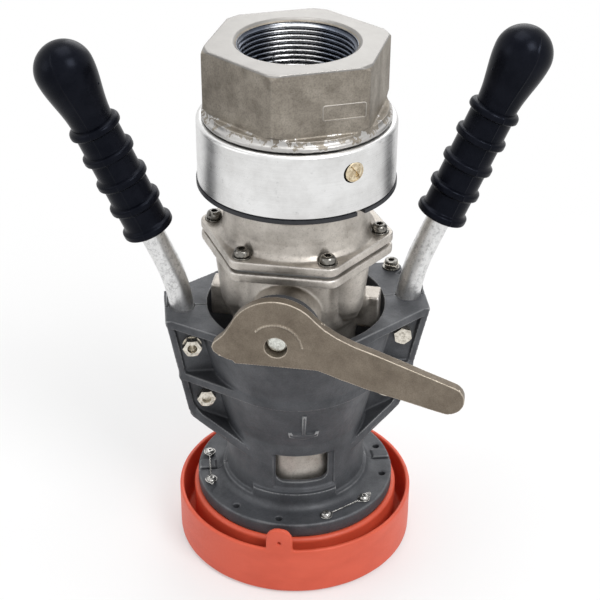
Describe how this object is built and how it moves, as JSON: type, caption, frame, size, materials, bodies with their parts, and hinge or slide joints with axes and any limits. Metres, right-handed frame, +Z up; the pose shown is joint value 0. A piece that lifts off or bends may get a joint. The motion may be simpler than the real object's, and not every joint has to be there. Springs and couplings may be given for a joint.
{
  "type": "pressure refuelling nozzle",
  "caption": "Pressure refuelling nozzle with threaded swivel inlet, flow lever, turning bayonet collar with two gripped handles and a dust cap.",
  "frame": {"origin": "on the main axis at the underside of the dust cap, the face that it stands on", "axes": "+Z up along the main axis towards the threaded inlet; -Y through the sight window of the collar; the handles lie along +X and -X"},
  "size_m": [0.3146, 0.1888, 0.3684],
  "materials": {
    "cast_aluminium": "matte",
    "brushed_band": "satin",
    "brass_plug": "satin",
    "dark_casting": "matte",
    "lever_bronze": "matte",
    "bush_bronze": "satin",
    "fastener_steel": "satin",
    "bearing_steel": "satin",
    "rod_aluminium": "satin",
    "grip_rubber": "matte",
    "seal_rubber": "matte",
    "cap_plastic": "satin"
  },
  "bodies": {
    "valve": {"race_band": "brushed_band", "race_plug": "brass_plug", "dust_seal": "seal_rubber", "outlet_casting": "cast_aluminium", "flange_screws": "fastener_steel", "flange_gasket": "dark_casting", "valve_body": "cast_aluminium", "shaft_gland": "dark_casting", "shaft_bush": "bush_bronze", "shaft_packing": "seal_rubber", "collar_bearing": "bush_bronze", "poppet_guide": "cast_aluminium", "nose_seal": "seal_rubber"},
    "inlet": {"inlet_hex": "cast_aluminium", "swivel_balls": "bearing_steel", "swivel_seal": "seal_rubber"},
    "lever": {"flow_lever": "lever_bronze", "lever_shaft": "bearing_steel", "lever_pin": "bearing_steel", "crank_arm": "bearing_steel", "crank_roller": "bush_bronze"},
    "poppet": {"poppet_head": "cast_aluminium", "poppet_seal": "seal_rubber", "poppet_stem": "bearing_steel", "poppet_yoke": "bearing_steel"},
    "collar": {"collar_front": "dark_casting", "collar_rear": "dark_casting", "nose_ring": "dark_casting", "nose_screws": "fastener_steel", "lock_wires": "fastener_steel", "wing_bolts": "fastener_steel", "wing_nuts": "fastener_steel", "rod_left": "rod_aluminium", "rod_right": "rod_aluminium", "grip_left": "grip_rubber", "grip_right": "grip_rubber", "deck_screw": "fastener_steel"},
    "cap": {"dust_cap": "cap_plastic"}
  },
  "joints": [
    {"name": "inlet_swivel", "type": "hinge", "parent": "valve", "child": "inlet", "pos_m": [0, 0, 0.295], "axis": [0, 0, 1], "continuous": true},
    {"name": "collar_turn", "type": "hinge", "parent": "valve", "child": "collar", "pos_m": [0, 0, 0.108], "axis": [0, 0, 1], "range_deg": [-15, 0]},
    {"name": "flow_lever_turn", "type": "hinge", "parent": "valve", "child": "lever", "pos_m": [0, 0, 0.1956], "axis": [-0.2588, -0.9659, 0], "range_deg": [0, 90]},
    {"name": "poppet_slide", "type": "slide", "parent": "valve", "child": "poppet", "axis": [0, 0, -1], "range_m": [0, 0.022]},
    {"name": "dust_cap_pull", "type": "slide", "parent": "collar", "child": "cap", "axis": [0, 0, -1], "range_m": [0, 0.06]}
  ],
  "couplings": [
    {"joint": "poppet_slide", "follows": "flow_lever_turn", "m_per_rad": 0.013955}
  ]
}
